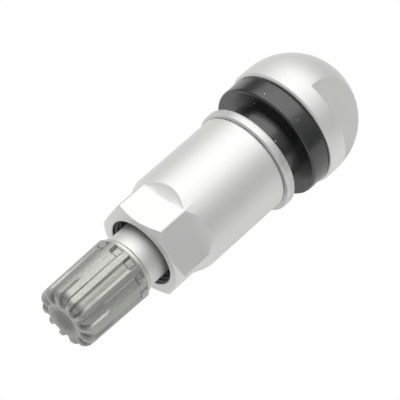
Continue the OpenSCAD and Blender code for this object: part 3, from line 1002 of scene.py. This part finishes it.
def cap_columns(cap):
    """Columns of one groove and half a land on each side of it, and the collar mark along them, which takes
    a painted highlight.
    """
    half = TURN / cap.grooves / 2
    floor_half = (cap.groove_width - cap.groove_flare) / 2
    mouth_half = (cap.groove_width + cap.groove_flare) / 2
    hollow = cap.floor_round
    end_r = cap.end_width / 2
    bend_steps = 4
    bends = [math.pi / 2 * k / bend_steps for k in range(bend_steps + 1)]
    floor_shares = (0.0, 0.4, 0.7)
    land_shares = (0.25, 0.5, 0.75, 1.0)
    # Most of the wall that the rounding at its foot and at its top may take
    foot_limit, top_limit = 0.4, 0.5
    rows = cap_rows(cap)

    def direction(y, r):
        return math.asin(y / max(r, end_r))

    def wall_side(row):
        """Places across half a groove, from its middle over its wall to the edge of the land."""
        top, base, soft = row
        depth = max((top - base).length, JOIN_GAP)
        side = [(floor_half * share, 0.0) for share in floor_shares]
        for tilt in bends:
            rise = hollow * (1 - math.cos(tilt)) / depth
            side.append((floor_half - hollow * (1 - math.sin(tilt)), min(rise, foot_limit)))
        for tilt in bends:
            drop = soft * (1 - math.sin(tilt)) / depth
            side.append((mouth_half + soft * (1 - math.cos(tilt)), 1 - min(drop, top_limit)))
        points = [(*base.lerp(top, share), y) for y, share in side]
        return [(x, r, direction(y, r)) for x, r, y in points]

    def land_side(edge):
        """Places across half a land, from its edge to its middle."""
        x, r, turn = edge
        return [(x, r, between(turn, half, share)) for share in land_shares]

    sides = []
    for row in rows:
        wall = wall_side(row)
        sides.append(wall + land_side(wall[-1]))
    columns = [[side[k] for side in sides] for k in range(len(sides[0]))]
    mirrored = [[(x, r, -turn) for x, r, turn in column] for column in reversed(columns[1:])]
    # Rows of the collar, which take a painted highlight in the cap's material
    line_start = CAP_START + cap.collar_length - cap.line_width * 2
    collar = [k for k, (top, _, _) in enumerate(rows) if top.x < line_start and top.y > cap.bore / 2]
    points = []
    for column in mirrored + columns:
        points.append([polar(x, r, cap.groove_turn + turn) for x, r, turn in column])
    return points, {"collar": collar}


class TYRE_VALVE_OT_stem(bpy.types.Operator):
    """Makes the domed stem with its milled flats and both threads"""
    bl_idname = "tyre_valve.stem"
    bl_label = "Stem"

    def execute(self, context):
        valve = context.scene.tyre_valve
        stem = valve.stem
        metal = material_of(blasted_aluminium, valve.finish)
        columns, marks = stem_columns(stem)
        seat(spin("stem_body", columns, HEAD_FLATS, metal, marks), "valve", "satin_aluminium", "valve_stem")
        nut_core = stem.thread_width / 2 - stem.thread_depth
        thread_end = WASHER_START + stem.thread_length
        nut_thread = thread("stem_nut_thread", metal, WASHER_START + stem.thread_run,
                            thread_end - stem.thread_run, nut_core, stem.thread_depth, stem.thread_pitch)
        seat(nut_thread, "valve", "satin_aluminium")
        cap_core = stem.cap_thread_width / 2 - stem.thread_depth
        cap_thread = thread("stem_cap_thread", metal, CAP_START + stem.cap_thread_start,
                            STEM_TIP - stem.cap_thread_inset, cap_core, stem.thread_depth,
                            stem.cap_thread_pitch)
        seat(cap_thread, "valve", "satin_aluminium")
        return {"FINISHED"}


class TYRE_VALVE_OT_grommet(bpy.types.Operator):
    """Makes the rubber grommet that seals the rim hole"""
    bl_idname = "tyre_valve.grommet"
    bl_label = "Grommet"

    def execute(self, context):
        valve = context.scene.tyre_valve
        grommet = valve.grommet
        bore_r = valve.stem.root_width / 2 + CONTACT_GAP
        boss_r = grommet.boss_width / 2
        outline = rounded([
            (FLANGE_BACK, bore_r, 0),
            (FLANGE_BACK, FLANGE_R, grommet.edge_round),
            (0, FLANGE_R, grommet.edge_round),
            (0, boss_r, 0),
            (BOSS_END, boss_r - BOSS_END * math.tan(grommet.boss_taper), grommet.edge_round),
            (BOSS_END, bore_r, 0),
        ])
        rubber = material_of(moulded_rubber, valve.finish)
        seat(turned("grommet_body", outline, rubber, {}), "valve", "black_rubber", "rim_grommet")
        return {"FINISHED"}


class TYRE_VALVE_OT_washer(bpy.types.Operator):
    """Makes the turned washer under the nut"""
    bl_idname = "tyre_valve.washer"
    bl_label = "Washer"

    def execute(self, context):
        valve = context.scene.tyre_valve
        washer = valve.washer
        bore_r = washer.bore / 2
        low, high, cut, soft = WASHER_START, WASHER_END, washer.chamfer, washer.edge_round
        # The outline starts and ends on the face, at two shares of the way from the bore to the rim
        first_share, last_share = 0.5, 0.4
        outline = rounded([
            (low, between(bore_r, WASHER_R, first_share), 0),
            (low, WASHER_R - cut, soft),
            (low + cut, WASHER_R, soft),
            (high - cut, WASHER_R, soft),
            (high, WASHER_R - cut, soft),
            (high, bore_r + soft, soft),
            (high - soft, bore_r, soft),
            (low + soft, bore_r, soft),
            (low, bore_r + soft, soft),
            (low, between(bore_r, WASHER_R, last_share), 0),
        ])
        # The faces take a painted shade in the washer's material
        faces = {"face": [k for k, point in enumerate(outline) if point.y < WASHER_R - cut]}
        ring = turned("washer_ring", outline, material_of(washer_aluminium, valve.finish), faces)
        ring.data.transform(Matrix.Translation((0, 0, -WASHER_DROP)))
        seat(ring, "washer", "turned_aluminium", "clamp_washer")
        return {"FINISHED"}


class TYRE_VALVE_OT_nut(bpy.types.Operator):
    """Makes the sleeve nut with its hexagon and the thread in its bore"""
    bl_idname = "tyre_valve.nut"
    bl_label = "Sleeve nut"

    def execute(self, context):
        valve = context.scene.tyre_valve
        nut = valve.nut
        metal = material_of(blasted_aluminium, valve.finish)
        columns, marks = nut_columns(nut)
        seat(spin("nut_body", columns, HEX_SIDES, metal, marks), "nut", "satin_aluminium", "sleeve_nut")
        ridge = thread("nut_thread", metal, NUT_START + nut.relief_depth + nut.thread_start,
                       NUT_END - nut.thread_inset, nut.bore / 2, -nut.thread_depth,
                       valve.stem.thread_pitch, BORE_OFFSET)
        set_mark(ridge.data, "bore", [1.0] * len(ridge.data.vertices))
        seat(ridge, "nut", "satin_aluminium")
        return {"FINISHED"}


class TYRE_VALVE_OT_cap(bpy.types.Operator):
    """Makes the fluted cap, the thread in its bore and the finish of its sealing disc"""
    bl_idname = "tyre_valve.cap"
    bl_label = "Cap"

    def execute(self, context):
        valve = context.scene.tyre_valve
        cap = valve.cap
        plastic = material_of(cap_plastic, valve.finish, cap)
        columns, marks = cap_columns(cap)
        seat(spin("cap_body", columns, cap.grooves, plastic, marks), "cap", "grey_plastic", "cap_shell")
        ridge = thread("cap_thread", plastic, CAP_START + cap.thread_start, STEM_TIP - cap.thread_inset,
                       cap.bore / 2, -cap.thread_depth, valve.stem.cap_thread_pitch, BORE_OFFSET)
        seat(ridge, "cap", "grey_plastic")
        paint("cap_seal", material_of(moulded_rubber, valve.finish))
        return {"FINISHED"}


class TYRE_VALVE_OT_core(bpy.types.Operator):
    """Winds the core's spring and finishes the other pieces of the core"""
    bl_idname = "tyre_valve.core"
    bl_label = "Valve core"

    def execute(self, context):
        valve = context.scene.tyre_valve
        core = valve.core
        brass = material_of(turned_brass, valve.finish)
        steel = material_of(bright_steel, valve.finish)
        for node in ("core_plug", "core_barrel", "plunger_cup"):
            paint(node, brass)
        paint("core_pin", steel)
        paint("core_gasket", material_of(white_gasket, valve.finish))
        paint("plunger_seal", material_of(moulded_rubber, valve.finish))
        low, high, outer = lie_along_x("core_spring")
        wire_r = core.wire / 2
        values = {
            "Start": low + wire_r, "Length": high - low - core.wire, "Turns": float(core.coils),
            "Radius": outer - wire_r, "Wire": core.wire, "Steps": core.coils * SPRING_STEPS,
            "Material": steel,
        }
        spring = put_in_scene("spring_wire", bpy.data.meshes.new("spring_wire"))
        seat(run_tree(spring, spring_tree(), values), "valve", "pin_steel", "core_spring")
        1 - PIN_TRAVEL / (high - low)
        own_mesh(spring)
        return {"FINISHED"}


# Stage

def floor_material(stage):
    """Pale floor that the camera sees as plain white and reflections see partly so; clear from below."""
    material = bpy.data.materials.new("pale_floor")
    nodes = fresh_nodes(material)
    camera, glossy, through = (nodes.node("ShaderNodeLightPath", output=ray)
                               for ray in ("Is Camera Ray", "Is Glossy Ray", "Is Transmission Ray"))
    seen = camera + stage.floor_glow * glossy.larger(through)
    matt = nodes.node("ShaderNodeBsdfDiffuse", {"Color": stage.floor})
    white = nodes.node("ShaderNodeEmission", {"Color": WHITE, "Strength": 1.0})
    lit = nodes.node("ShaderNodeMixShader", {0: seen, 1: matt, 2: white})
    below = nodes.node("ShaderNodeNewGeometry", output="Backfacing")
    clear = nodes.node("ShaderNodeBsdfTransparent")
    surface = nodes.node("ShaderNodeMixShader", {0: below, 1: lit, 2: clear})
    nodes.node("ShaderNodeOutputMaterial", {"Surface": surface})
    return material


def lay_floor(valve):
    """Floor that the head's rim and the end of the sleeve lie on."""
    nut = valve.nut
    sleeve_end = NUT_END - nut.hex_length - (SLEEVE_R - nut.hex_width / 2) / math.tan(nut.hex_slope)
    rim_end = FLANGE_BACK - valve.stem.front_chamfer
    tilt = math.atan2(HEAD_R - SLEEVE_R, sleeve_end - rim_end)
    half = valve.stage.floor_half
    corners = [(-half, -half, 0), (half, -half, 0), (half, half, 0), (-half, half, 0)]
    mesh = bpy.data.meshes.new("floor")
    mesh.from_pydata(corners, [], [(0, 1, 2, 3)])
    mesh.materials.append(floor_material(valve.stage))
    floor = put_in_scene("floor", mesh)
    floor.location = (rim_end, 0, -HEAD_R)
    floor.rotation_euler = (0, -tilt, 0)


def bright_room(stage):
    """Room of soft light that fades towards the horizon, and that the camera sees as white."""
    world = bpy.data.worlds.new("room")
    nodes = fresh_nodes(world)
    camera = nodes.node("ShaderNodeLightPath", output="Is Camera Ray")
    height = nodes.axes(nodes.node("ShaderNodeTexCoord", output="Generated"))[2]
    level = nodes.node("ShaderNodeMapRange", {0: height, 3: stage.horizon_level, 4: stage.sky_level})
    light = nodes.node("ShaderNodeBackground", {"Color": WHITE, "Strength": level.larger(camera)})
    nodes.node("ShaderNodeOutputWorld", {"Surface": light})
    return world


def hang_light(stage):
    """Soft light over the valve, which it faces."""
    light = bpy.data.lights.new("key_light", "AREA")
    light.shape = "RECTANGLE"
    light.size = stage.key_across
    light.size_y = stage.key_along
    light.energy = stage.key_watts
    lamp = put_in_scene("key_light", light)
    away = Vector(stage.key_way).normalized()
    across = (Vector((0, 1, 0)) - away * away.y).normalized()
    lamp.location = away * stage.key_distance
    lamp.rotation_euler = Matrix((across, away.cross(across), away)).transposed().to_euler()


class TYRE_VALVE_OT_stage(bpy.types.Operator):
    """Lays the floor and sets the light and the camera"""
    bl_idname = "tyre_valve.stage"
    bl_label = "Stage"

    def execute(self, context):
        valve = context.scene.tyre_valve
        stage = valve.stage
        lay_floor(valve)
        hang_light(stage)
        context.scene.world = bright_room(stage)
        lens = bpy.data.cameras.new("camera")
        lens.lens = stage.focal_length
        lens.clip_start = NEAR_CLIP
        camera = put_in_scene("camera", lens)
        level = math.cos(stage.elevation)
        back = Vector((math.sin(stage.azimuth) * level, -math.cos(stage.azimuth) * level,
                       math.sin(stage.elevation)))
        camera.location = Vector(stage.aim) + back * stage.distance
        camera.rotation_euler = back.to_track_quat("Z", "Y").to_euler()
        context.scene.camera = camera
        context.scene.view_settings.view_transform = "Standard"
        return {"FINISHED"}


class TYRE_VALVE_PT_panel(bpy.types.Panel):
    """Lists the steps that dress the valve"""
    bl_label = "Tyre valve"
    bl_idname = "TYRE_VALVE_PT_panel"
    bl_space_type = "VIEW_3D"
    bl_region_type = "UI"
    bl_category = "Tyre valve"

    def draw(self, context):
        for step in STEPS:
            self.layout.operator(step.bl_idname)


STEPS = (TYRE_VALVE_OT_stem, TYRE_VALVE_OT_grommet, TYRE_VALVE_OT_washer, TYRE_VALVE_OT_nut,
         TYRE_VALVE_OT_cap, TYRE_VALVE_OT_core, TYRE_VALVE_OT_stage)
CLASSES = (StemSettings, GrommetSettings, WasherSettings, NutSettings, CapSettings, CoreSettings,
           FinishSettings, StageSettings, ValveSettings, *STEPS, TYRE_VALVE_PT_panel)


def register():
    for each in CLASSES:
        bpy.utils.register_class(each)
    bpy.types.Scene.tyre_valve = PointerProperty(type=ValveSettings)


def unregister():
    del bpy.types.Scene.tyre_valve
    for each in reversed(CLASSES):
        bpy.utils.unregister_class(each)


def main():
    register()
    for step in STEPS:
        getattr(bpy.ops.tyre_valve, step.bl_idname.split(".")[1])()


if __name__ == "__main__":
    main()
